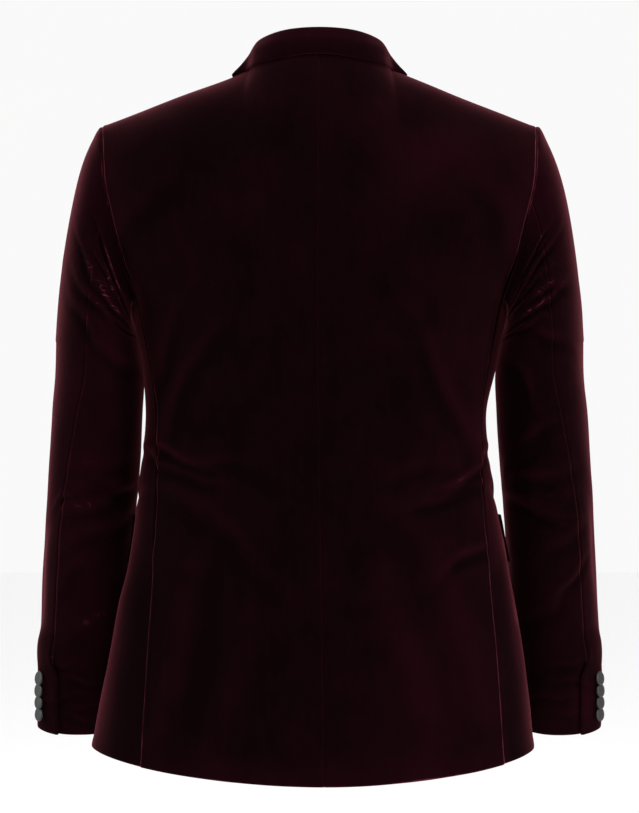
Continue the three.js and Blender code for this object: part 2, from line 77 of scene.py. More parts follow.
# Sections of the sleeve: middle, half sizes, and how it tips and turns, in degrees
sleeveColumns = ("h", "x", "y", "wide", "deep", "pitch", "twist")
sleeveSections = [
    (-668, 250.5, -103, 47, 48, 18, 0),
    (-620, 249.7, -90, 47, 50, 18, 0),
    (-560, 244, -70, 47, 53, 17, 0),
    (-500, 240, -48, 46, 55, 15, 0),
    (-440, 234.6, -27, 46.2, 58, 11, 0),
    (-385, 229.5, -11, 46.8, 61, 5, 4),
    (-345, 226.8, -4, 46, 64, 2, 7),
    (-310, 224.8, -3, 44.5, 67, 1, 9),
    (-275, 227, -2, 41.5, 70, 0, 9),
]
elbowColumns = ("h", "turn")
elbowSeam = [(-668, 0.15), (-560, 0.15), (-440, 0.155), (-345, 0.17), (-275, 0.185), (-56, 0.21)]
sleeveCut = {
    "top": -56.0, "biceps": -275.0, "cuff": -668.0, "square": 2.3, "forearmSeam": 0.69, "cap": 0.7,
    "rope": 2.2, "ropeAt": 0.07, "ropeWidth": 0.06, "underarm": 3.5, "gap": 0.6,
    "ventTop": -585.0, "ventLap": 0.03, "ventLift": 3.7,
    "backEnd": 0.385, "frontStart": 0.585, "bladeShare": 0.41, "girth": 340.0,
}


def mix(a, b, t):
    return a + (b - a) * t


def ease(t):
    s = np.clip(t, 0.0, 1.0)
    return s * s * (3 - 2 * s)


def band(place, at, width):  # 1 in the middle of a band, fading away on both sides
    return np.exp(-(((place - at) / width) ** 2))


def read(columns, rows, name, h):  # smooth value of one column at height h
    table = np.array(rows, dtype=float)
    hs, values = table[:, 0], table[:, columns.index(name)]
    last = len(hs) - 1
    i = np.clip(np.searchsorted(hs, h, side="right") - 1, 0, last - 1)
    below, above = np.maximum(i - 1, 0), np.minimum(i + 2, last)
    span = hs[i + 1] - hs[i]
    t = np.clip((h - hs[i]) / span, 0.0, 1.0)
    slopeStart = (values[i + 1] - values[below]) / (hs[i + 1] - hs[below])
    slopeEnd = (values[above] - values[i]) / (hs[above] - hs[i])
    curve = (t ** 3 - 2 * t ** 2 + t) * slopeStart * span + (t ** 3 - t ** 2) * slopeEnd * span
    return mix(values[i], values[i + 1], ease(t)) + curve


def body(name, h):
    return read(bodyColumns, bodyRings, name, h)


def points(x, y, z):
    return np.stack(np.broadcast_arrays(x, y, z), axis=-1).astype(float)


def turnTo(share):  # angle from the middle line at which a ring reaches this share of its half width
    share = np.where(np.abs(share) < 1e-6, 1e-6, share)
    cotangent = np.maximum(np.abs(share) ** -jacket["roundness"] - 1, 0) ** (1 / jacket["roundness"])
    return np.arctan2(1.0, cotangent) * np.sign(share)


def squareness(angle, power):
    return (np.abs(np.sin(angle)) ** power + np.abs(np.cos(angle)) ** power) ** (-1 / power)


def halfWidth(side, h):
    return body("left" if side > 0 else "right", h)


def ringPoint(side, angle, h):  # angle 0 is the centre back, pi the centre front
    k = squareness(angle, jacket["roundness"])
    cosine = np.cos(angle)
    depth = np.where(cosine > 0, body("back", h), body("front", h))
    drop = jacket["dropBack"] * np.maximum(cosine, 0) ** 2 - jacket["dropFront"] * np.minimum(cosine, 0)
    fall = drop * ease((jacket["dropStart"] - h) / (jacket["dropStart"] - jacket["hem"]))
    turned = jacket["skirtTurn"] * ease((jacket["turnStart"] - h) / (jacket["turnStart"] - jacket["hem"]))
    across = halfWidth(side, h) * k * np.sin(angle) - side * turned * k * cosine
    return points(across, depth * k * cosine, h - fall)


def backAngle(side, h):
    return turnTo(body("backHalf", h) / halfWidth(side, h))


def frontAngle(side, h):
    return math.pi - turnTo(body("frontHalf", h) / halfWidth(side, h))


def edgeAngle(side, h):
    return math.pi - turnTo(body("edge", h) / halfWidth(side, h))


def overShoulder(base, top, h, rounding):  # closes a panel over the shoulder on a rounded path
    w = np.clip((h - jacket["blade"]) / -jacket["blade"], 0, 1)
    away = mix(1 - w, np.cos(w * math.pi / 2), rounding)
    rise = mix(w, np.sin(w * math.pi / 2), rounding)
    return points(
        mix(base[..., 0], top[..., 0], w),
        mix(top[..., 1], base[..., 1], away),
        mix(base[..., 2], top[..., 2], rise),
    )


def shoulderSeam(share):
    neck, shoulder = np.array(jacket["neck"]), np.array(jacket["shoulder"])
    line = mix(neck, shoulder, share[..., None])
    line[..., 2] -= jacket["shoulderSag"] * np.sin(math.pi * share)
    return line


def backTopLine(u):  # half the neckline, then the shoulder seam
    neck, nape = np.array(jacket["neck"]), np.array(jacket["nape"])
    share = jacket["neckShare"]
    angle = np.clip(u / share, 0, 1) * math.pi / 2
    near = np.cos(angle)
    neckline = points(neck[0] * np.sin(angle), mix(neck[1], nape[1], near), mix(neck[2], nape[2], near))
    along = np.clip((u - share) / (1 - share), 0, 1)
    return np.where((u > share)[..., None], shoulderSeam(along), neckline)


def backPoint(side, u, h):
    low = np.minimum(h, jacket["blade"])
    base = ringPoint(side, u * backAngle(side, low), low)
    rounding = mix(jacket["neckRounding"], 1.0, ease(u / jacket["roundBy"]))
    return overShoulder(base, backTopLine(u), h, rounding)


def sidePoint(side, u, h):
    place = ringPoint(side, mix(backAngle(side, h), frontAngle(side, h), u), h)
    dip = ease((h - jacket["dipStart"]) / (jacket["armholeBottom"] - jacket["dipStart"]))
    place[..., 2] -= jacket["armholeDip"] * dip * np.sin(math.pi * np.clip(u, 0, 1))
    return place


def frontPoint(side, u, h):
    low = np.minimum(h, jacket["blade"])
    base = ringPoint(side, mix(frontAngle(side, low), edgeAngle(side, low), u), low)
    if side > 0:
        rolled = ease((low - jacket["breakLine"] + jacket["rollOver"]) / jacket["rollOver"])
        lap = mix(jacket["frontLap"], jacket["lapAtRoll"], rolled)
        base[..., 1] -= lap * (1 - ease((base[..., 0] - jacket["lapClear"]) / jacket["lapClear"]))
    return overShoulder(base, shoulderSeam(1 - u), h, mix(1.0, jacket["frontRounding"], u))


def armholePoint(side, turn):
    t = np.mod(turn, 1.0)
    backEnd, frontStart, bladeShare = (sleeveCut[k] for k in ("backEnd", "frontStart", "bladeShare"))

    def heightAt(f):
        upper = mix(0, jacket["blade"], f / bladeShare)
        lower = mix(jacket["blade"], jacket["armholeBottom"], (f - bladeShare) / (1 - bladeShare))
        return np.where(f < bladeShare, upper, lower)

    one = np.ones_like(t)
    behind = backPoint(side, one, heightAt(np.clip(t / backEnd, 0, 1)))
    ahead = frontPoint(side, 0 * one, heightAt(np.clip((1 - t) / (1 - frontStart), 0, 1)))
    across = np.clip((t - backEnd) / (frontStart - backEnd), 0, 1)
    under = sidePoint(side, across, one * jacket["armholeBottom"])
    return np.where((t < backEnd)[..., None], behind, np.where((t > frontStart)[..., None], ahead, under))


def sleeve(name, h):
    return read(sleeveColumns, sleeveSections, name, h)


def sleeveSection(turn, h):
    angle = turn * 2 * math.pi
    k = squareness(angle, sleeveCut["square"])
    pitch, twist = np.radians(sleeve("pitch", h)), np.radians(sleeve("twist", h))
    across = sleeve("wide", h) * k * np.cos(angle)
    along = sleeve("deep", h) * k * np.sin(angle)
    turnedX = across * np.cos(twist) - along * np.sin(twist)
    turnedY = across * np.sin(twist) + along * np.cos(twist)
    deep = turnedY * np.cos(pitch)
    return points(sleeve("x", h) + turnedX, sleeve("y", h) + deep, h - turnedY * np.sin(pitch))


def sleevePoint(side, turn, h):
    biceps = sleeveCut["biceps"]
    w = np.clip((sleeveCut["top"] - h) / (sleeveCut["top"] - biceps), 0, 1)
    start, end = armholePoint(side, turn), sleeveSection(turn, np.full_like(turn, biceps))
    out = mix(w, np.sin(w * math.pi / 2), sleeveCut["cap"])
    down = mix(w, 1 - np.cos(w * math.pi / 2), sleeveCut["cap"])
    cosine = np.cos(turn * 2 * math.pi)
    rope = sleeveCut["rope"] * band(w, sleeveCut["ropeAt"], sleeveCut["ropeWidth"]) * np.maximum(cosine, 0)
    underarm = sleeveCut["underarm"] * np.sin(math.pi * w) * np.maximum(-cosine, 0)
    capPoint = points(
        mix(start[..., 0], end[..., 0], out) + sleeveCut["gap"] + underarm,
        mix(start[..., 1], end[..., 1], ease(w)),
        mix(start[..., 2], end[..., 2], down) + rope,
    )
    return np.where((h > biceps)[..., None], capPoint, sleeveSection(turn, np.minimum(h, biceps)))


def seamTurn(h):
    return read(elbowColumns, elbowSeam, "turn", h)


# Creases are rows of: place across and height, length and width of the mark, how deep it sinks (minus
# stands up), and its slant in degrees. A soft ridge follows each trough, with a painted highlight on the
# ridge and painted shade in the trough, both as strong as the crease is deep. Places on the shape are in
# widths.
creaseShape = {
    "bow": 0.35, "wander": 0.45, "wanderRate": 3.1,
    "sink": 1.5, "ridge": 0.5, "ridgeAt": 1.6, "ridgeWidth": 0.9,
    # mark and light: the painted highlight on each crease's ridge; dark: the painted shade in its trough
    "mark": 0.2, "markWidth": 7, "lightAt": 1.5, "lightWidth": 0.7,
    "dark": 0.9, "darkAt": -0.1, "darkWidth": 0.9,
}


def creaseRelief(rows, across, h):  # height of the creases, and their painted light: 1 painted highlight, -1 painted shade
    shape = creaseShape
    height, napAndPaintedLight = np.zeros_like(across), np.zeros_like(across)
    for at, level, length, width, depth, slant in rows:
        c, s = math.cos(math.radians(slant)), math.sin(math.radians(slant))
        along = ((across - at) * c + (h - level) * s) / length
        over = (-(across - at) * s + (h - level) * c) / width
        over = over + shape["bow"] * along * along
        over = over + shape["wander"] * np.sin(shape["wanderRate"] * along + at + level)
        fade = band(along, 0, 1)
        ridge = shape["ridge"] * band(over, shape["ridgeAt"], shape["ridgeWidth"])
        height -= shape["sink"] * depth * fade * (band(over, 0, 1) - ridge)
        # a painted highlight along the ridge beside the trough, painted shade in the trough itself
        light = band(over, shape["lightAt"], shape["lightWidth"])
        dark = shape["dark"] * band(over, shape["darkAt"], shape["darkWidth"])
        napAndPaintedLight += shape["mark"] * depth * min(1, shape["markWidth"] / width) * fade * (light - dark)
    return height, napAndPaintedLight


drapeWaves = {"long": (31, 74, 57, 90), "short": (17, 39, 26), "shortShare": 0.6}  # lengths in mm


def drape(x, z, seed, size):  # slow unevenness of hanging cloth
    a, b, c, d = drapeWaves["long"]
    e, f, g = drapeWaves["short"]
    phase = seed * 1.7
    wave = np.sin(x / a + z / b + phase) * np.sin(z / c - x / d + 2.1 * phase)
    ripple = np.sin(x / e - z / f + 3.3 * phase) * np.sin(z / g + phase)
    return size * (wave + drapeWaves["shortShare"] * ripple)


def gridNormals(grid):
    alongU = np.gradient(grid, axis=1)
    alongV = np.gradient(grid, axis=0)
    normal = np.cross(alongV, alongU)
    return normal / np.maximum(np.linalg.norm(normal, axis=-1, keepdims=True), 1e-9)


def edgeDistance(grid):  # mm from each border of the panel: start and end across, low and high
    stepU = np.linalg.norm(np.diff(grid, axis=1), axis=-1)
    stepV = np.linalg.norm(np.diff(grid, axis=0), axis=-1)
    fromStart = np.concatenate([np.zeros((grid.shape[0], 1)), np.cumsum(stepU, axis=1)], axis=1)
    fromLow = np.concatenate([np.zeros((1, grid.shape[1])), np.cumsum(stepV, axis=0)], axis=0)
    return fromStart, fromStart[:, -1:] - fromStart, fromLow, fromLow[-1:] - fromLow


# How the cloth rolls into its seams and puckers beside them, and how a turned edge stands proud, in mm;
# lightAt and turnLight place painted highlights beside each seam and along each turned edge
edgeShape = {
    "roll": 0.25, "rollAt": 2.6, "rollWidth": 1.9, "groove": 0.7, "grooveWidth": 1.1,
    "pucker": 0.3, "puckerLength": 4.1, "puckerSpacing": 11.3, "acrossLength": 300,
    "lightAt": 0.8, "lightWidth": 0.8, "turn": 0.5, "turnAt": 3, "turnWidth": 5,
    "turnLight": 0.22, "turnLightWidth": 1.2, "rim": 0.3,
}

# How strong a painted highlight runs beside each seam, where the pile rolls into it, at each border of a
# panel
seamLight = {
    "back": {"start": 0.1, "end": 0.4, "high": 0.12},
    "other": {"start": 0.12, "end": 0.1, "low": 0.24, "high": 0.14},
}


# Broad patches, partly nap brushed the other way and partly painted light and painted shade: x, z,
# reach across and down, and how far it turned the tone lighter (minus darker)
brushedNapAndPaintedLight = [
    (-100, -560, 60, 120, 0.08), (-120, -640, 60, 80, 0.14), (0, -708, 240, 22, 0.19),
    (-115, -90, 50, 34, 0.3), (120, -560, 60, 110, -0.02), (-150, -330, 40, 110, 0.07),
    (30, -360, 110, 170, -0.05), (118, -74, 46, 24, -0.2), (180, -470, 16, 150, -0.4),
    (213, -560, 28, 130, 0.19), (242, -600, 24, 110, 0.15), (240, -420, 22, 120, 0.14),
    (222, -110, 26, 50, 0.14), (212, -260, 14, 90, 0.16), (-222, -120, 26, 60, 0.24),
    (-214, -540, 13, 140, 0.03), (-196, -390, 12, 60, -0.2), (-240, -600, 22, 100, 0.1),
    (-187, -465, 9, 50, 0.34), (-195, -570, 11, 70, 0.24), (0, 30, 60, 12, 0.17),
    (-274, -652, 14, 40, 0.2),
]


frontBrushingAndPaintedLight = {"share": 0.35, "fade": 1.8}  # the brushed patches and their painted light are fainter on the front


# broad patches of brushed nap, painted highlight and painted shade
def brushingAndPaintedLight(base, side):
    x, z = base[..., 0] * side, base[..., 2]
    total = np.zeros_like(x)
    for atX, atZ, reachX, reachZ, turn in brushedNapAndPaintedLight:
        total += turn * np.exp(-((x - atX) / reachX) ** 2 - ((z - atZ) / reachZ) ** 2)
    towardsBack = gridNormals(base)[..., 1]
    return total * mix(frontBrushingAndPaintedLight["share"], 1, ease(1 + frontBrushingAndPaintedLight["fade"] * towardsBack))


nearBorder = {"places": [0, 0.5, 1.0, 1.6, 2.4, 3.4, 4.8], "inner": 6.5}  # mm from the border


def spread(start, end, count, length):  # places along a panel, crowded near its two borders
    near = np.array(nearBorder["places"]) / length
    inner = np.linspace(nearBorder["inner"] / length, 1 - nearBorder["inner"] / length, count)
    return start + (end - start) * np.concatenate([near, inner, 1 - near[::-1]])


def edgeRelief(name, u, v, borders, seams, turnUp):  # height, and painted highlights, along the panel's seams and turned edges
    shape = edgeShape
    height, napAndPaintedLight = np.zeros_like(u), np.zeros_like(u)
    lights = seamLight["back" if "back" in name else "other"]
    for border in seams:
        along = v * 1.0 if border in ("start", "end") else u * shape["acrossLength"]
        ripple = np.sin(along / shape["puckerLength"] + len(name)) * np.sin(along / shape["puckerSpacing"])
        pucker = 1 + shape["pucker"] * ripple
        edge = borders[border]
        roll = shape["roll"] * band(edge, shape["rollAt"], shape["rollWidth"])
        height += pucker * (roll - shape["groove"] * band(edge, 0, shape["grooveWidth"]))
        # a painted highlight beside the seam
        napAndPaintedLight += pucker * band(edge, shape["lightAt"], shape["lightWidth"]) * lights[border]
    for border in turnUp:
        height += shape["turn"] * band(borders[border], shape["turnAt"], shape["turnWidth"])
        # a painted highlight along the turned edge
        napAndPaintedLight += shape["turnLight"] * band(borders[border], 0, shape["turnLightWidth"])
    return height, napAndPaintedLight


def wallFaces(rows, columns):  # outside, inside and rim faces, and the loop of points round the border
    count = rows * columns
    index = np.arange(count).reshape(rows, columns)
    a, b, c, d = index[:-1, :-1], index[:-1, 1:], index[1:, 1:], index[1:, :-1]
    front = np.stack([a, d, c, b], axis=-1).reshape(-1, 4)
    back = np.stack([a, b, c, d], axis=-1).reshape(-1, 4) + count
    loop = np.concatenate([index[0, :], index[1:, -1], index[-1, -2::-1], index[-2:0:-1, 0]])
    rim = np.arange(len(loop)) + 2 * count
    nextLoop, nextRim = np.roll(loop, -1), np.roll(rim, -1)
    rimOuter = np.stack([loop, nextLoop, nextRim, rim], axis=-1)
    rimInner = np.stack([rim, nextRim, nextLoop + count, loop + count], axis=-1)
    return front, back, np.concatenate([rimOuter, rimInner]), loop


def borderOutward(base):  # which way is out of the panel, at each point of that loop
    outward = np.concatenate([
        base[0, :] - base[1, :], base[1:, -1] - base[1:, -2], base[-1, -2::-1] - base[-2, -2::-1],
        base[-2:0:-1, 0] - base[-2:0:-1, 1],
    ])
    return outward / np.linalg.norm(outward, axis=-1, keepdims=True)


def pointValues(mesh, name, values, loop):  # one number for each point: outside, inside and rim
    flat = np.clip(values, -1, 1).reshape(-1)
    attribute = mesh.attributes.new(name, "FLOAT", "POINT")
    attribute.data.foreach_set("value", np.concatenate([flat, flat, flat[loop]]))


def clothShell(name, surface, us, vs, side, relief=None, lift=None, seams=(), turnUp=(), crushed=None):
    thickness = jacket["clothThickness"]
    u, v = np.meshgrid(us, vs)
    base = surface(u, v)
    fromStart, fromEnd, fromLow, fromHigh = edgeDistance(base)
    borders = {"start": fromStart, "end": fromEnd, "low": fromLow, "high": fromHigh}
    height, napAndPaintedLight = edgeRelief(name, u, v, borders, seams, turnUp)
    if relief is not None:
        # turned: the painted highlight and painted shade from the creases
        creased, turned = relief(u, v, base)
        height, napAndPaintedLight = height + creased, napAndPaintedLight + turned
    if lift is not None:
        height = height + lift(u, v)
    outer = base + gridNormals(base) * height[..., None]
    inner = outer - gridNormals(outer) * thickness
    front, back, rim, loop = wallFaces(*u.shape)
    grid = np.concatenate([outer.reshape(-1, 3), inner.reshape(-1, 3)])
    rounded = borderOutward(base) * thickness * edgeShape["rim"]
    middle = (grid[loop] + grid[loop + u.size]) / 2 + rounded
    verts = np.concatenate([grid, middle]) * mm
    faces = np.concatenate([front, back, rim])
    if side < 0:
        verts[:, 0] *= -1
        faces = faces[:, ::-1]
    mesh = bpy.data.meshes.new(name)
    mesh.from_pydata(verts.tolist(), [], faces.tolist())
    mesh.polygons.foreach_set("use_smooth", [True] * len(faces))
    inside = np.zeros(len(faces), dtype=int)
    inside[len(front):len(front) + len(back)] = 1
    mesh.materials.append(materials["velvet"])
    mesh.materials.append(materials["reverse"])
    mesh.polygons.foreach_set("material_index", inside)
    flatPlace = np.stack([fromStart, fromLow], axis=-1).reshape(-1, 2) * mm
    flatPlace = np.concatenate([flatPlace, flatPlace, flatPlace[loop]])
    corners = np.empty(len(mesh.loops), dtype=int)
    mesh.loops.foreach_get("vertex_index", corners)
    mesh.uv_layers.new(name="cloth").data.foreach_set("uv", flatPlace[corners].ravel())
    # the painted light and shade, with the brushed patches, kept on each point for the velvet's colour
    pointValues(mesh, "napAndPaintedLight", napAndPaintedLight + brushingAndPaintedLight(base, side), loop)
    pointValues(mesh, "crush", np.zeros_like(u) if crushed is None else crushed(u, v), loop)
    mesh.update()
    piece = bpy.data.objects.new(name, mesh)
    bpy.context.collection.objects.link(piece)
    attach(piece, "root")
    return piece


def hexLinear(value):
    channels = [int(value[i:i + 2], 16) / 255 for i in (1, 3, 5)]
    return [c / 12.92 if c <= 0.04045 else ((c + 0.055) / 1.055) ** 2.4 for c in channels] + [1.0]


def addNode(tree, kind, settings=None, links=None):
    node = tree.nodes.new(kind)
    for key, value in (settings or {}).items():
        if isinstance(key, int) or key in node.inputs:
            node.inputs[key].default_value = value
        else:
            setattr(node, key, value)
    for key, source in (links or {}).items():
        tree.links.new(source, node.inputs[key])
    return node


def newMaterial(name):
    material = bpy.data.materials.new(name)
    material.use_nodes = True
    tree = material.node_tree
    tree.nodes.clear()
    return material, tree


materials = {}


# Cotton velvet, woven double and cut to a 1.5 mm pile, dyed burgundy: nearly black where the pile
# points at the eye, dusky rose where the cloth turns away, cloudy where hands have brushed the nap.
# Its colour also carries painted light: painted shade down to near black in crease troughs and beside
# the vents, and painted highlights up to a dusky rose along creases, seams, edges and crinkles.
velvetLook = {
    # the darkest tone is for painted shade, the lightest (at 1.0) for painted highlights
    "dark": "#020001", "deep": "#060102", "lit": "#140306", "pressedAndHighlighted": "#7c3642",
    "sheen": "#a84f5b", "sheenWeight": 0.42, "sheenRoughness": 0.32, "roughness": 0.95,
    "darkAt": 0.2, "deepAt": 0.46, "litAt": 0.66, "highlightAt": 1.0,
    "crinkle": 7.5, "crinkleLight": 0.13, "crinkleTurn": 0.45, "crinkleWidth": 0.035,
    "cloud": 50, "streak": 9, "pile": 1.1, "cloudShare": 0.26, "streakShare": 0.3,
}


def velvetMaterial():
    material, tree = newMaterial("cut_cotton_velvet")
    look = velvetLook
    place = addNode(tree, "ShaderNodeTexCoord")
    cloud = addNode(tree, "ShaderNodeTexNoise",
                    {"Scale": 1 / (look["cloud"] * mm), "Detail": 4.0, "Roughness": 0.6},
                    {"Vector": place.outputs["Object"]})
    napMap = addNode(tree, "ShaderNodeMapping", {"Scale": (1.0, 1.0, 0.3)},
                     {"Vector": place.outputs["Object"]})
    streak = addNode(tree, "ShaderNodeTexNoise", {"Scale": 1 / (look["streak"] * mm), "Detail": 3.0},
                     {"Vector": napMap.outputs["Vector"]})
    pile = addNode(tree, "ShaderNodeTexNoise", {"Scale": 1 / (look["pile"] * mm), "Detail": 2.0},
                   {"Vector": place.outputs["Object"]})
    # the painted light and shade stored on the cloth, with its brushed patches
    lightAndNapReader = addNode(tree, "ShaderNodeAttribute", {"attribute_name": "napAndPaintedLight"})
    brushing = addNode(tree, "ShaderNodeMix", {"Factor": look["streakShare"]},
                       {"A": cloud.outputs["Fac"], "B": streak.outputs["Fac"]})
    middle = 0.5 - look["cloudShare"] / 2
    turned = addNode(tree, "ShaderNodeMath", {"operation": "MULTIPLY_ADD", 1: 0.5, 2: middle},
                     {0: lightAndNapReader.outputs["Fac"]})
    total = addNode(tree, "ShaderNodeMath", {"operation": "MULTIPLY_ADD", 1: look["cloudShare"]},
                    {0: brushing.outputs["Result"], 2: turned.outputs[0]})
    # thin crinkles where the sleeve has been pressed: the lines where a stretched noise crosses its middle,
    # raised by a bump and painted lighter as a painted highlight
    crush = addNode(tree, "ShaderNodeAttribute", {"attribute_name": "crush"})
    slanted = addNode(tree, "ShaderNodeMapping", {"Rotation": (0.0, look["crinkleTurn"], 0.0)},
                      {"Vector": place.outputs["Object"]})
    stretched = addNode(tree, "ShaderNodeMapping", {"Scale": (0.36, 0.4, 1.0)},
                        {"Vector": slanted.outputs["Vector"]})
    field = addNode(tree, "ShaderNodeTexNoise",
                    {"Scale": 1 / (look["crinkle"] * mm), "Detail": 1.0, "Distortion": 0.25},
                    {"Vector": stretched.outputs["Vector"]})
    offset = addNode(tree, "ShaderNodeMath", {"operation": "SUBTRACT", 1: 0.5}, {0: field.outputs["Fac"]})
    distance = addNode(tree, "ShaderNodeMath", {"operation": "ABSOLUTE"}, {0: offset.outputs[0]})
    line = addNode(tree, "ShaderNodeMapRange",
                   {"From Max": look["crinkleWidth"], "To Min": 1.0, "To Max": 0.0},
                   {"Value": distance.outputs[0]})
    crinkle = addNode(tree, "ShaderNodeMath", {"operation": "MULTIPLY"},
                      {0: line.outputs["Result"], 1: crush.outputs["Fac"]})
    marked = addNode(tree, "ShaderNodeMath", {"operation": "MULTIPLY_ADD", 1: look["crinkleLight"]},
                     {0: crinkle.outputs[0], 2: total.outputs[0]})
    # the tone runs from painted shade through the dye's deep and lit tones up to a painted highlight
    tone = addNode(tree, "ShaderNodeValToRGB", {}, {"Fac": marked.outputs[0]})
    stops = tone.color_ramp.elements
    stops[0].position, stops[0].color = look["darkAt"], hexLinear(look["dark"])
    stops[1].position, stops[1].color = look["highlightAt"], hexLinear(look["pressedAndHighlighted"])
    for name in ("deep", "lit"):
        stops.new(look[name + "At"]).color = hexLinear(look[name])
    rise = addNode(tree, "ShaderNodeBump", {"Strength": 0.6, "Distance": 0.0012},
                   {"Height": cloud.outputs["Fac"]})
    fold = addNode(tree, "ShaderNodeBump", {"Strength": 0.6, "Distance": 0.0008},
                   {"Height": crinkle.outputs[0], "Normal": rise.outputs["Normal"]})
    bump = addNode(tree, "ShaderNodeBump", {"Strength": 0.4, "Distance": 0.0006},
                   {"Height": pile.outputs["Fac"], "Normal": fold.outputs["Normal"]})
    shader = addNode(tree, "ShaderNodeBsdfPrincipled", {
        "Roughness": look["roughness"], "Sheen Weight": look["sheenWeight"],
        "Sheen Roughness": look["sheenRoughness"], "Sheen Tint": hexLinear(look["sheen"]),
        "Specular IOR Level": 0.01,
    }, {"Base Color": tone.outputs["Color"], "Normal": bump.outputs["Normal"]})
    addNode(tree, "ShaderNodeOutputMaterial", {}, {"Surface": shader.outputs[0]})
    return material


# The velvet's woven back: plain cotton ground, flat and dull, its threads drawn 1.2 mm apart to show.
reverseLook = {"thread": 1.2, "gap": 0.03, "warp": "#2a0f17", "weft": "#220b12", "between": "#14060a"}


def reverseMaterial():
    look = reverseLook
    material, tree = newMaterial("velvet_ground_weave")
    place = addNode(tree, "ShaderNodeTexCoord")
    threads = addNode(tree, "ShaderNodeTexBrick", {
        "Scale": 1 / (4 * look["thread"] * mm), "Mortar Size": look["gap"], "Color1": hexLinear(look["warp"]),
        "Color2": hexLinear(look["weft"]), "Mortar": hexLinear(look["between"]),
    }, {"Vector": place.outputs["UV"]})
    bump = addNode(tree, "ShaderNodeBump", {"Strength": 0.4, "Distance": 0.0004},
                   {"Height": threads.outputs["Fac"]})
    shader = addNode(tree, "ShaderNodeBsdfPrincipled", {"Roughness": 0.85, "Specular IOR Level": 0.2},
                     {"Base Color": threads.outputs["Color"], "Normal": bump.outputs["Normal"]})
    addNode(tree, "ShaderNodeOutputMaterial", {}, {"Surface": shader.outputs[0]})
    return material


# Satin stretched over a button mould: charcoal, with a soft sheen along its fine diagonal ribs.
satinLook = {"ribs": 6, "dark": "#040405", "light": "#09090a"}


def satinMaterial():
    look = satinLook
    material, tree = newMaterial("covered_satin")
    place = addNode(tree, "ShaderNodeTexCoord")
    turned = addNode(tree, "ShaderNodeMapping", {"Rotation": (0.0, 0.6, 0.6)},
                     {"Vector": place.outputs["Object"]})
    ribs = addNode(tree, "ShaderNodeTexWave",
                   {"Scale": 1 / (look["ribs"] * mm), "Distortion": 1.0, "Detail": 1.0},
                   {"Vector": turned.outputs["Vector"]})
    tone = addNode(tree, "ShaderNodeValToRGB", {}, {"Fac": ribs.outputs["Fac"]})
    tone.color_ramp.elements[0].color = hexLinear(look["dark"])
    tone.color_ramp.elements[1].color = hexLinear(look["light"])
    bump = addNode(tree, "ShaderNodeBump", {"Strength": 0.2, "Distance": 0.0002},
                   {"Height": ribs.outputs["Fac"]})
    shader = addNode(tree, "ShaderNodeBsdfPrincipled", {"Roughness": 0.5, "Specular IOR Level": 0.3},
                     {"Base Color": tone.outputs["Color"], "Normal": bump.outputs["Normal"]})
    addNode(tree, "ShaderNodeOutputMaterial", {}, {"Surface": shader.outputs[0]})
    return material


materials["velvet"] = velvetMaterial()
materials["reverse"] = reverseMaterial()
materials["satin"] = satinMaterial()
print("materials ready")

# The back: drag lines at the waist, soft falls in the skirt and across the blades.
# across is measured from the centre seam, positive to the wearer's left.
backCreases = [
    (150, -392, 34, 5, 1.6, 22),
    (146, -412, 40, 6, 1.3, 10),
    (128, -330, 70, 9, 1.2, -64),
    (150, -300, 60, 8, 1.0, -70),
    (96, -404, 40, 8, 0.5, 10),
    (110, -470, 90, 12, 0.9, 38),
    (120, -590, 90, 16, 1.4, -76),
    (60, -610, 110, 20, 1.1, -84),
    (170, -160, 60, 14, 1.2, -60),
    (90, -70, 70, 18, 1.0, 18),
    (-150, -415, 34, 5, 1.7, -24),
    (-140, -432, 44, 6, 1.2, -14),
    (-152, -492, 30, 6, 1.4, -30),
    (-124, -340, 74, 9, 1.1, 66),
    (-98, -412, 40, 8, 0.5, -12),
    (-105, -545, 110, 18, 1.6, 64),
    (-60, -600, 120, 20, 1.2, 80),
    (-172, -170, 60, 14, 1.2, 62),
    (-95, -75, 70, 18, 1.0, -16),
]
backCut = {
    "columns": 78, "rows": 252, "width": 180, "height": 710, "drape": 0.7,
    "flat": (0.235, 0.765), "area": 0.168,
    "ventLift": 3.2, "ventFade": 25, "liftFrom": 0.6, "liftOver": 0.22,
}


def makeBack(label, side):
    cut = backCut

    def relief(u, h, place):
        height, napAndPaintedLight = creaseRelief(backCreases, place[..., 0] * side, h)
        return height + drape(place[..., 0] * side, h, 1, cut["drape"]), napAndPaintedLight

    def lift(u, h):  # the back lies over the side body at the vent
        opened = ease((jacket["ventTop"] - h) / cut["ventFade"])
        return cut["ventLift"] * opened * ease((u - cut["liftFrom"]) / cut["liftOver"])

    us = spread(0, 1, cut["columns"], cut["width"])
    hs = spread(jacket["hem"], 0, cut["rows"], cut["height"])
    piece = clothShell("back_velvet_" + label, lambda u, h: backPoint(side, u, h), us, hs, side, relief, lift,
                       ("start", "end", "high"), turnUp=("low",))
    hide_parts("back_" + label)


sideCreases = [(20, -392, 30, 6, 1.4, 14), (40, -430, 34, 7, 1.2, -10), (60, -560, 80, 14, 1.2, 84)]
sideCut = {
    "columns": 34, "rows": 166, "width": 125, "height": 460, "drape": 0.6, "flat": (0.2, 0.49), "area": 0.066,
    "creaseWidth": 120, "underlap": 0.1, "underlapBelow": 22, "underlapFade": 30, "underlapShare": 0.5,
    "fullness": 1.1, "fullAt": -274, "fullReach": 52,
    "shade": 0.4, "shadeAt": 24, "shadeReach": 8, "shadeFade": 40,
}


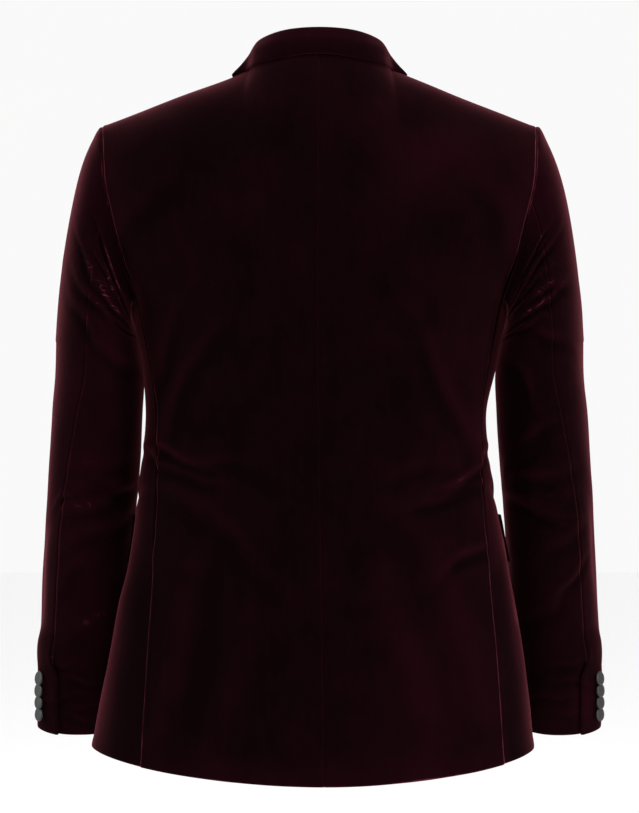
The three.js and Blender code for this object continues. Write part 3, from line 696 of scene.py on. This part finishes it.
def makeSide(label, side):
    cut = sideCut

    def surface(u, h):  # the vent's underlap reaches behind the back
        below = ease((jacket["ventTop"] - cut["underlapBelow"] - h) / cut["underlapFade"])
        under = cut["underlap"] * below * (1 - ease(u / cut["underlapShare"]))
        return sidePoint(side, u - under / (frontAngle(side, h) - backAngle(side, h)), h)

    def relief(u, h, place):  # pressed out by the arm, and painted shade beside the vent
        across = u * cut["creaseWidth"]
        height, napAndPaintedLight = creaseRelief(sideCreases, across, h)
        full = cut["fullness"] * band(h, cut["fullAt"], cut["fullReach"]) * np.sin(math.pi * np.clip(u, 0, 1))
        opened = ease((jacket["ventTop"] - h) / cut["shadeFade"])
        shaded = cut["shade"] * opened * band(u * cut["width"], cut["shadeAt"], cut["shadeReach"])
        return height + full + drape(across * side, h, 2, cut["drape"]), napAndPaintedLight - shaded

    us = spread(0, 1, cut["columns"], cut["width"])
    hs = spread(jacket["hem"], jacket["armholeBottom"], cut["rows"], cut["height"])
    piece = clothShell("side_velvet_" + label, surface, us, hs, side, relief, None,
                       ("start", "end", "high"), turnUp=("low",))
    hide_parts("side_" + label)


# The fronts fall plainly from the button, with a slight pull towards it.
frontCreases = [
    (70, -372, 46, 7, 1.3, 14), (60, -345, 50, 8, 1.0, 30), (80, -400, 50, 8, 1.0, -16),
    (130, -180, 60, 16, 1.2, 70), (110, -560, 100, 18, 1.4, 86), (50, -600, 80, 16, 1.0, 80),
]
frontCut = {
    "columns": 58, "rows": 216, "width": 200, "height": 710, "drape": 0.6, "flat": (0.29, 0.75), "area": 0.17,
}


def makeFront(label, side):
    cut = frontCut

    def relief(u, h, place):
        height, napAndPaintedLight = creaseRelief(frontCreases, place[..., 0], h)
        return height + drape(place[..., 0] * side, h, 3, cut["drape"]), napAndPaintedLight

    us = spread(0, 1, cut["columns"], cut["width"])
    hs = spread(jacket["hem"], 0, cut["rows"], cut["height"])
    piece = clothShell("front_velvet_" + label, lambda u, h: frontPoint(side, u, h), us, hs, side, relief,
                       seams=("start", "high"), turnUp=("low", "end"))
    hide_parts("front_" + label)


lapelColumns = ("h", "share")
lapelReach = [(-362, 0.02), (-330, 0.115), (-300, 0.2), (-230, 0.3), (-162, 0.41), (-110, 0.53), (-60, 0.58)]
lapelCut = {
    "columns": 40, "rows": 130, "topInner": -52.0, "topOuter": -70.0, "roll": 3.0, "rollBy": 2.4, "lift": 3.1,
    "flat": (0.095, 0.34), "area": 0.0195,
}
tinyStep = {"across": 0.002, "up": 0.5}


def outwardNormal(surface, u, h):  # out of a surface, from a tiny step each way
    stepU, stepH = tinyStep["across"], tinyStep["up"]
    alongU = surface(u + stepU, h) - surface(u - stepU, h)
    alongH = surface(u, h + stepH) - surface(u, h - stepH)
    normal = np.cross(alongH, alongU)
    return normal / np.linalg.norm(normal, axis=-1, keepdims=True)


def raised(panel, u, h, lift):  # a panel's points moved out of it
    normal = outwardNormal(panel, u, h)
    return panel(u, h) + normal * np.broadcast_to(lift, normal.shape[:-1])[..., None]


def makeLapel(label, side):
    cut = lapelCut
    topInner, topOuter = cut["topInner"], cut["topOuter"]

    def surface(u, v):
        share = (v - jacket["breakLine"]) / (topInner - jacket["breakLine"])
        h = v - (topInner - topOuter) * (1 - u) * ease(share)
        across = 1 - read(lapelColumns, lapelReach, "share", h) * (1 - u)
        lift = cut["lift"] + cut["roll"] * u * u * ease(share * cut["rollBy"])
        return raised(lambda a, b: frontPoint(side, a, b), across, h, lift)

    us = np.linspace(0, 1, cut["columns"])
    vs = np.linspace(jacket["breakLine"], topInner, cut["rows"])
    piece = clothShell("lapel_velvet_" + label, surface, us, vs, side, turnUp=("start", "high"))
    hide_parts("lapel_" + label)


# The sleeves: diagonals under the sleeve head, breaks at the elbow, small wrinkles above the cuff.
# across is mm round the sleeve from its outermost line, towards the back.
sleeveCreases = {
    "left": [
        (82, -150, 22, 4, 1.8, -38), (96, -168, 26, 5, 2.2, -42), (84, -186, 20, 4, 1.3, -36),
        (60, -204, 26, 6, 1.3, -44), (92, -222, 28, 6, 1.6, -34), (70, -236, 30, 6, 1.5, -30),
        (112, -250, 22, 5, 1.3, -26), (60, -262, 26, 6, 1.1, -46), (100, -300, 30, 8, 1.1, -20),
        (56, -428, 14, 3.5, 1.8, 34), (92, -436, 38, 7, 1.6, 12), (120, -420, 30, 6, 1.6, -10),
        (100, -400, 34, 8, 1.2, 6), (104, -462, 40, 8, 1.5, 22), (84, -500, 36, 9, 1.0, 40),
        (100, -560, 40, 9, 0.7, 30), (70, -596, 20, 4, 0.9, 8), (84, -612, 22, 4, 1.0, -6),
        (74, -630, 24, 4, 0.9, 10), (96, -640, 20, 4, 0.8, 4), (80, -652, 18, 3.5, 0.8, -8),
        (270, -200, 30, 8, 1.6, 30), (285, -240, 34, 8, 1.4, 24), (250, -400, 40, 8, 1.8, -10),
        (262, -380, 34, 7, 1.6, 8), (240, -424, 40, 8, 1.5, 14), (20, -500, 60, 12, 1.0, 80),
    ],
    "right": [
        (84, -152, 22, 4, 2.0, 4), (92, -162, 24, 4, 1.5, -4), (78, -180, 30, 5, 1.8, -8),
        (96, -196, 26, 5, 1.2, 6), (70, -222, 26, 5, 1.3, 14), (82, -236, 34, 5, 2.0, -12),
        (104, -258, 26, 5, 1.2, -20), (70, -276, 30, 7, 1.2, 20), (104, -320, 30, 7, 1.2, 60),
        (96, -372, 34, 6, 1.6, -22), (112, -392, 30, 6, 1.8, -30), (92, -410, 40, 7, 1.6, -10),
        (110, -440, 38, 7, 1.7, 12), (70, -470, 30, 7, 1.1, -30), (62, -506, 24, 5, 1.5, -44),
        (96, -540, 40, 9, 1.1, -36), (84, -596, 22, 4, 0.9, -6), (72, -614, 22, 4, 1.0, 8),
        (92, -630, 24, 4, 0.9, -4), (78, -648, 20, 4, 0.8, 6),
        (268, -206, 30, 8, 1.5, -28), (284, -238, 34, 8, 1.4, -20), (252, -404, 40, 8, 1.8, 12),
        (262, -384, 34, 7, 1.5, -6), (242, -428, 40, 8, 1.5, -14), (18, -480, 60, 12, 1.0, 78),
    ],
}
sleeveMesh = {
    "columns": 74, "rows": 290, "width": 165, "height": 610, "drape": 0.6, "drapeStretch": 1.3,
    "topFlat": (0.245, 0.655), "topArea": 0.105, "underFlat": (0.185, 0.58), "underArea": 0.084,
    # rows of place, reach and how much
    "fullness": [(-261, 12, 2.4), (-292, 26, 1.2)], "fullTurn": 0.5, "fullReach": 0.1,
    "pressedAndHighlighted": [(-205, 55, 1.0), (-425, 55, 0.45), (-520, 30, 0.2), (-630, 34, 0.35)],
    "pressedRound": [(88, 40, 1.0), (265, 40, 0.6)],
    "quiet": 0.4, "plain": 0.75, "quietBelow": -420, "quietFade": 120,
    "ventFade": 25, "ventStart": 28, "ventFrom": 0.72, "ventOver": 0.12,
}


def bands(place, rows):  # several bands, each with its place, reach and amount
    return sum(much * band(place, at, reach) for at, reach, much in rows)


def makeSleeve(label, side):
    cut, mesh = sleeveCut, sleeveMesh

    def around(turn):  # mm round the sleeve from its outermost line
        return np.where(turn < -0.02, turn + 1, turn) * cut["girth"]

    def relief(turn, h, place):
        height, napAndPaintedLight = creaseRelief(sleeveCreases[label], around(turn), h)
        # the under sleeve is a little fuller where the arm meets the body
        full = bands(place[..., 2], mesh["fullness"]) * band(turn, mesh["fullTurn"], mesh["fullReach"])
        uneven = drape(around(turn) * mesh["drapeStretch"], h, 5 + side, mesh["drape"])
        shown = mix(mesh["quiet"], mesh["plain"], ease((h - mesh["quietBelow"]) / mesh["quietFade"]))
        return height + full + uneven, napAndPaintedLight * shown  # the painted light of the lower sleeve's creases shows less

    def crushed(turn, h):  # behind the arm: under the sleeve head, at the elbow and above the cuff, where crinkles are raised and painted lighter
        return bands(h, mesh["pressedAndHighlighted"]) * bands(around(turn), mesh["pressedRound"])

    def topTurn(u, h):
        lap = cut["ventLap"] * ease((cut["ventTop"] - h) / mesh["ventFade"])
        return mix(cut["forearmSeam"] - 1, seamTurn(h) + lap, u)

    def underTurn(u, h):
        return mix(seamTurn(h), cut["forearmSeam"], u)

    def topLift(u, h):
        low = ease((cut["ventTop"] + mesh["ventStart"] - h) / mesh["ventFade"])
        return cut["ventLift"] * low * ease((u - mesh["ventFrom"]) / mesh["ventOver"])

    def sleeveHalf(name, turnAt, lift):
        return clothShell(name, lambda u, h: sleevePoint(side, turnAt(u, h), h), us, hs, side,
                          lambda u, h, place: relief(turnAt(u, h), h, place), lift,
                          ("start", "end", "low"), turnUp=("high",),
                          crushed=lambda u, h: crushed(turnAt(u, h), h))

    us = spread(0, 1, mesh["columns"], mesh["width"])
    hs = spread(cut["top"], cut["cuff"], mesh["rows"], mesh["height"])
    top = sleeveHalf("top_sleeve_velvet_" + label, topTurn, topLift)
    under = sleeveHalf("under_sleeve_velvet_" + label, underTurn, None)
    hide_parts("top_sleeve_" + label)
    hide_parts("under_sleeve_" + label)


# The collar, station by station from the centre back: the panel it lies on, the places of its seam and of the
# fall's edge on that panel, how far the fold stands up and out from the seam, and how full the fall is.
collarStations = [
    ("back", (0, 0), (0, -10.5), 22.5, -4, 4),
    ("back", (0.11, 0), (0.125, -15), 22.5, -5, 4),
    ("back", (0.22, 0), (0.23, -17), 21, -6.5, 3),
    ("back", (0.275, 0), (0.33, -14), 18, -6.5, 2.5),
    ("back", (0.32, 0), (0.39, -8), 15, -6, 0.5),
    ("front", (1, -8), (0.88, -7), 13.5, -5, 0.5),
    ("front", (1, -17), (0.815, -16), 13, -3, 1.5),
    ("front", (1, -31), (0.735, -33), 13, -1, 3),
    ("front", (1, -48), (0.66, -52), 12, 0, 3),
]
collarCut = {
    "around": 210, "over": 44, "seamLift": 0.8, "seamBelow": -1.0, "edgeLift": 2.4, "fallRise": 2.0,
    "fold": 3.4, "foldRing": [(1.7, -1.0), (0.7, 0.0), (-0.2, -0.6)],  # out and up, in fold radii
    "standAt": 0.55, "standIn": 0.8, "drape": 0.25, "drapeStretch": 1.5,
    "roll": 0.3, "rollLight": 0.1, "rollAt": 0.2, "rollReach": 0.05, "flat": (0.47, 0.075), "area": 0.0265,
}


def curveThrough(knots, count):  # a smooth line through rows of points, evenly read along its length
    ends = np.concatenate([2 * knots[:1] - knots[1:2], knots, 2 * knots[-1:] - knots[-2:-1]])
    gaps = np.sqrt(np.maximum(np.linalg.norm(np.diff(ends, axis=0), axis=-1), 1e-6))
    gaps = gaps.reshape(len(gaps), -1).mean(axis=1)
    spans = len(knots) - 1
    t = np.linspace(0, spans, count)
    result = []
    for value in t:
        i = min(int(value), spans - 1)
        local = value - i
        g0, g1, g2 = gaps[i], gaps[i + 1], gaps[i + 2]
        p0, p1, p2, p3 = ends[i], ends[i + 1], ends[i + 2], ends[i + 3]
        m1 = ((p1 - p0) / g0 - (p2 - p0) / (g0 + g1) + (p2 - p1) / g1) * g1
        m2 = ((p2 - p1) / g1 - (p3 - p1) / (g1 + g2) + (p3 - p2) / g2) * g1
        a, b = local ** 3, local ** 2
        leaving = (2 * a - 3 * b + 1) * p1 + (a - 2 * b + local) * m1
        result.append(leaving + (-2 * a + 3 * b) * p2 + (a - b) * m2)
    return np.array(result)


def onPanel(panelName, place, lift):
    panel = backPoint if panelName == "back" else frontPoint
    u, h = np.array([float(place[0])]), np.array([float(place[1])])
    return raised(lambda a, b: panel(-1, a, b), u, h, lift)[0]


def collarSection(row, seam, away):  # from the fall's edge, over the fold, down to the seam
    cut = collarCut
    panelName, _, edgeAt, up, out, full = row
    edge = onPanel(panelName, edgeAt, cut["edgeLift"])
    fold = seam + away * out + np.array([0, 0, up])
    ring = [fold + away * outward * cut["fold"] + np.array([0, 0, upward * cut["fold"]])
            for outward, upward in cut["foldRing"]]
    fall = (edge + fold) / 2 + away * full + np.array([0, 0, cut["fallRise"]])
    return [edge, fall, *ring, mix(fold, seam, cut["standAt"]) - away * cut["standIn"], seam]


def collarHalf():  # station, profile point, xyz
    seams = np.array([
        onPanel(row[0], (row[1][0], min(row[1][1], collarCut["seamBelow"])), collarCut["seamLift"])
        for row in collarStations
    ])
    line = np.concatenate([seams[1:2] * np.array([-1, 1, 1]), seams, seams[-1:]])
    along = line[2:] - line[:-2]
    away = np.stack([-along[:, 1], along[:, 0], np.zeros(len(along))], axis=-1)
    away /= np.linalg.norm(away, axis=-1, keepdims=True)
    return np.array([collarSection(row, seams[k], away[k]) for k, row in enumerate(collarStations)])


def makeCollar():
    cut = collarCut
    half = collarHalf()
    mirrored = half[:0:-1] * np.array([-1, 1, 1])
    lines = curveThrough(np.concatenate([mirrored, half]), cut["around"])
    grid = curveThrough(np.swapaxes(lines, 0, 1), cut["over"])

    def relief(u, v, place):
        roll = band(v, cut["rollAt"], cut["rollReach"]) * (1 - np.abs(u)) ** 0.5
        stretched = place * cut["drapeStretch"]
        uneven = drape(stretched[..., 0], stretched[..., 2], 4, cut["drape"])
        return uneven + cut["roll"] * roll, cut["rollLight"] * roll

    us, vs = np.linspace(-1, 1, cut["around"]), np.linspace(0, 1, cut["over"])
    piece = clothShell("collar_velvet", lambda u, v: grid, us, vs, 1, relief, turnUp=("low",))
    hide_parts("collar")


flapCut = {
    "rear": 91.0, "fore": 152.0, "bottom": -500.0, "top": -452.0, "columns": 70, "rows": 26,
    "flat": (0.15, 0.05), "lift": 2.4, "rearLift": 0.6, "rearShare": 0.15, "liftAbove": -478, "liftFade": 20,
}


def makeFlap(label, side):
    cut = flapCut
    rear, fore = math.radians(cut["rear"]), math.radians(cut["fore"])

    def lift(u, h):
        high = ease((h - cut["liftAbove"]) / cut["liftFade"])
        return cut["lift"] + cut["rearLift"] * (1 - ease(u / cut["rearShare"])) * high

    us = np.linspace(0, 1, cut["columns"])
    hs = np.linspace(cut["bottom"], cut["top"], cut["rows"])
    piece = clothShell("flap_velvet_" + label, lambda u, h: ringPoint(side, mix(rear, fore, u), h),
                       us, hs, side, lift=lift, turnUp=("low",))
    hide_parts("pocket_flap_" + label)


for label, side in sides.items():
    makeBack(label, side)
    makeSide(label, side)
    makeFront(label, side)
    makeLapel(label, side)
    makeSleeve(label, side)
    makeFlap(label, side)
makeCollar()
print("cloth made")

cuffButtons = {
    "radius": 7.5, "height": 2.6, "turn": 0.037, "first": -612.0, "pitch": 12.9, "count": 4,
    "tilt": 0.27, "lift": 5.4,
}
frontButton = {"radius": 10.5, "height": 4.0, "across": 0.92, "below": 12.0, "lift": 1.4}
buttonShape = {"around": 40, "wall": 0.6, "dome": ((0.14, 0.2), (0.24, 0.12), (0.26, 0.06)), "edge": 0.5}


def coveredButton(name, radius, height, place, facing):
    bpy.ops.object.select_all(action="DESELECT")
    wall = height * buttonShape["wall"]
    bpy.ops.mesh.primitive_cylinder_add(vertices=buttonShape["around"], radius=radius * mm, depth=wall * mm,
                                        location=(0, 0, wall / 2 * mm))
    piece = bpy.context.object
    piece.name = name
    bpy.ops.object.transform_apply(location=True, rotation=True, scale=True)
    bpy.ops.object.mode_set(mode="EDIT")
    bpy.ops.mesh.select_mode(type="FACE")
    bpy.ops.mesh.select_all(action="DESELECT")
    bpy.ops.object.mode_set(mode="OBJECT")
    for face in piece.data.polygons:
        face.select = face.normal.z > 0.9  # the top
    bpy.ops.object.mode_set(mode="EDIT")
    for share, rise in buttonShape["dome"]:  # ring by ring, in radii and heights
        bpy.ops.mesh.inset(thickness=radius * share * mm)
        bpy.ops.transform.translate(value=(0, 0, height * rise * mm))
    bpy.ops.mesh.select_all(action="SELECT")
    bpy.ops.mesh.normals_make_consistent(inside=False)
    bpy.ops.object.mode_set(mode="OBJECT")
    soften = piece.modifiers.new("edge", "BEVEL")
    soften.width = buttonShape["edge"] * mm
    soften.segments = 2
    soften.limit_method = "ANGLE"
    smooth = piece.modifiers.new("smooth", "SUBSURF")
    smooth.levels = smooth.render_levels = 1
    for modifier in ("edge", "smooth"):
        bpy.ops.object.modifier_apply(modifier=modifier)
    bpy.ops.object.shade_smooth()
    turned = Vector(facing).to_track_quat("Z", "Y").to_matrix().to_4x4()
    piece.data.transform(turned)
    piece.data.transform(Matrix.Translation(Vector(place) * mm))
    piece.data.materials.append(materials["satin"])
    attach(piece, "root")
    return piece


def makeCuffButtons(label, side):
    for number in range(cuffButtons["count"]):
        h = np.array([cuffButtons["first"] - number * cuffButtons["pitch"]])
        turn = seamTurn(h) - cuffButtons["turn"]
        normal = -outwardNormal(lambda t, z: sleevePoint(side, t, z), turn, h)[0]
        place = (sleevePoint(side, turn, h)[0] + normal * cuffButtons["lift"]) * np.array([side, 1, 1])
        facing = normal * np.array([side, 1, 1]) + np.array([0, 0, cuffButtons["tilt"]])
        piece = coveredButton("satin_cuff_button_%s_%d" % (label, number + 1), cuffButtons["radius"],
                              cuffButtons["height"], place, facing)
        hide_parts("cuff_button_%s_%d" % (label, number + 1))


def makeFrontButton():
    level = jacket["breakLine"] - frontButton["below"]
    closure = frontPoint(1, np.array([frontButton["across"]]), np.array([level]))[0]
    piece = coveredButton("satin_front_button", frontButton["radius"], frontButton["height"],
                          (0, closure[1] - frontButton["lift"], closure[2]), (0, -1, 0))
    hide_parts("front_button")


for label, side in sides.items():
    makeCuffButtons(label, side)
makeFrontButton()
print("buttons made")

# Plain pale studio. The picture is pixelsHigh high and shows mmPerPixel in each at the jacket's middle.
studio = {
    "floor": -1.35, "floorRadius": 14, "white": "#fafafa", "air": 0.95,
    "distance": 2.8, "azimuth": 0.0, "height": -0.341, "pixelsHigh": 813, "mmPerPixel": 1.02, "sensor": 36,
}

# Soft lights: place, size and power
softLights = {
    "right_side": ((-3.0, 1.5, 0.4), (1.2, 2.4), 110),
    "left_side": ((3.0, 0.3, 0.3), (1.2, 2.4), 70),
    "above": ((0, 0.2, 2.4), (2.0, 1.0), 50),
    "front_fill": ((0.5, -3.0, 1.2), (2.4, 2.4), 40),
}


def makeStage():
    bpy.ops.object.select_all(action="DESELECT")
    bpy.ops.mesh.primitive_circle_add(vertices=96, radius=studio["floorRadius"], fill_type="NGON",
                                      location=(0, 0, studio["floor"]))
    floor = bpy.context.object
    floor.name = "studio_floor"
    material, tree = newMaterial("matt_paper_floor")
    shader = addNode(tree, "ShaderNodeBsdfPrincipled",
                     {"Base Color": hexLinear(studio["white"]), "Roughness": 0.9})
    addNode(tree, "ShaderNodeOutputMaterial", {}, {"Surface": shader.outputs[0]})
    floor.data.materials.append(material)
    world = bpy.data.worlds.new("studio_air")
    bpy.context.scene.world = world
    world.use_nodes = True
    background = world.node_tree.nodes["Background"]
    background.inputs["Color"].default_value = (1, 1, 1, 1)
    background.inputs["Strength"].default_value = studio["air"]


def makeLight(name, place, size, power, target=(0, 0, -0.35)):
    data = bpy.data.lights.new(name, "AREA")
    data.shape = "RECTANGLE"
    data.size, data.size_y = size
    data.energy = power
    light = bpy.data.objects.new(name, data)
    bpy.context.collection.objects.link(light)
    light.location = place
    light.rotation_euler = (Vector(target) - Vector(place)).to_track_quat("-Z", "Y").to_euler()


def makeCamera():
    data = bpy.data.cameras.new("back_view")
    data.sensor_width = studio["sensor"]
    data.lens = studio["sensor"] * studio["distance"] / (studio["pixelsHigh"] * studio["mmPerPixel"] * mm)
    camera = bpy.data.objects.new("back_view", data)
    bpy.context.collection.objects.link(camera)
    yaw = math.radians(studio["azimuth"])
    target = Vector((0, 0, studio["height"]))
    camera.location = target + Vector((math.sin(yaw), math.cos(yaw), 0)) * studio["distance"]
    camera.rotation_euler = (target - camera.location).to_track_quat("-Z", "Y").to_euler()
    bpy.context.scene.camera = camera


makeStage()
for name, (place, size, power) in softLights.items():
    makeLight(name, place, size, power)
makeCamera()
bpy.context.scene.view_settings.view_transform = "Standard"
print("studio ready")
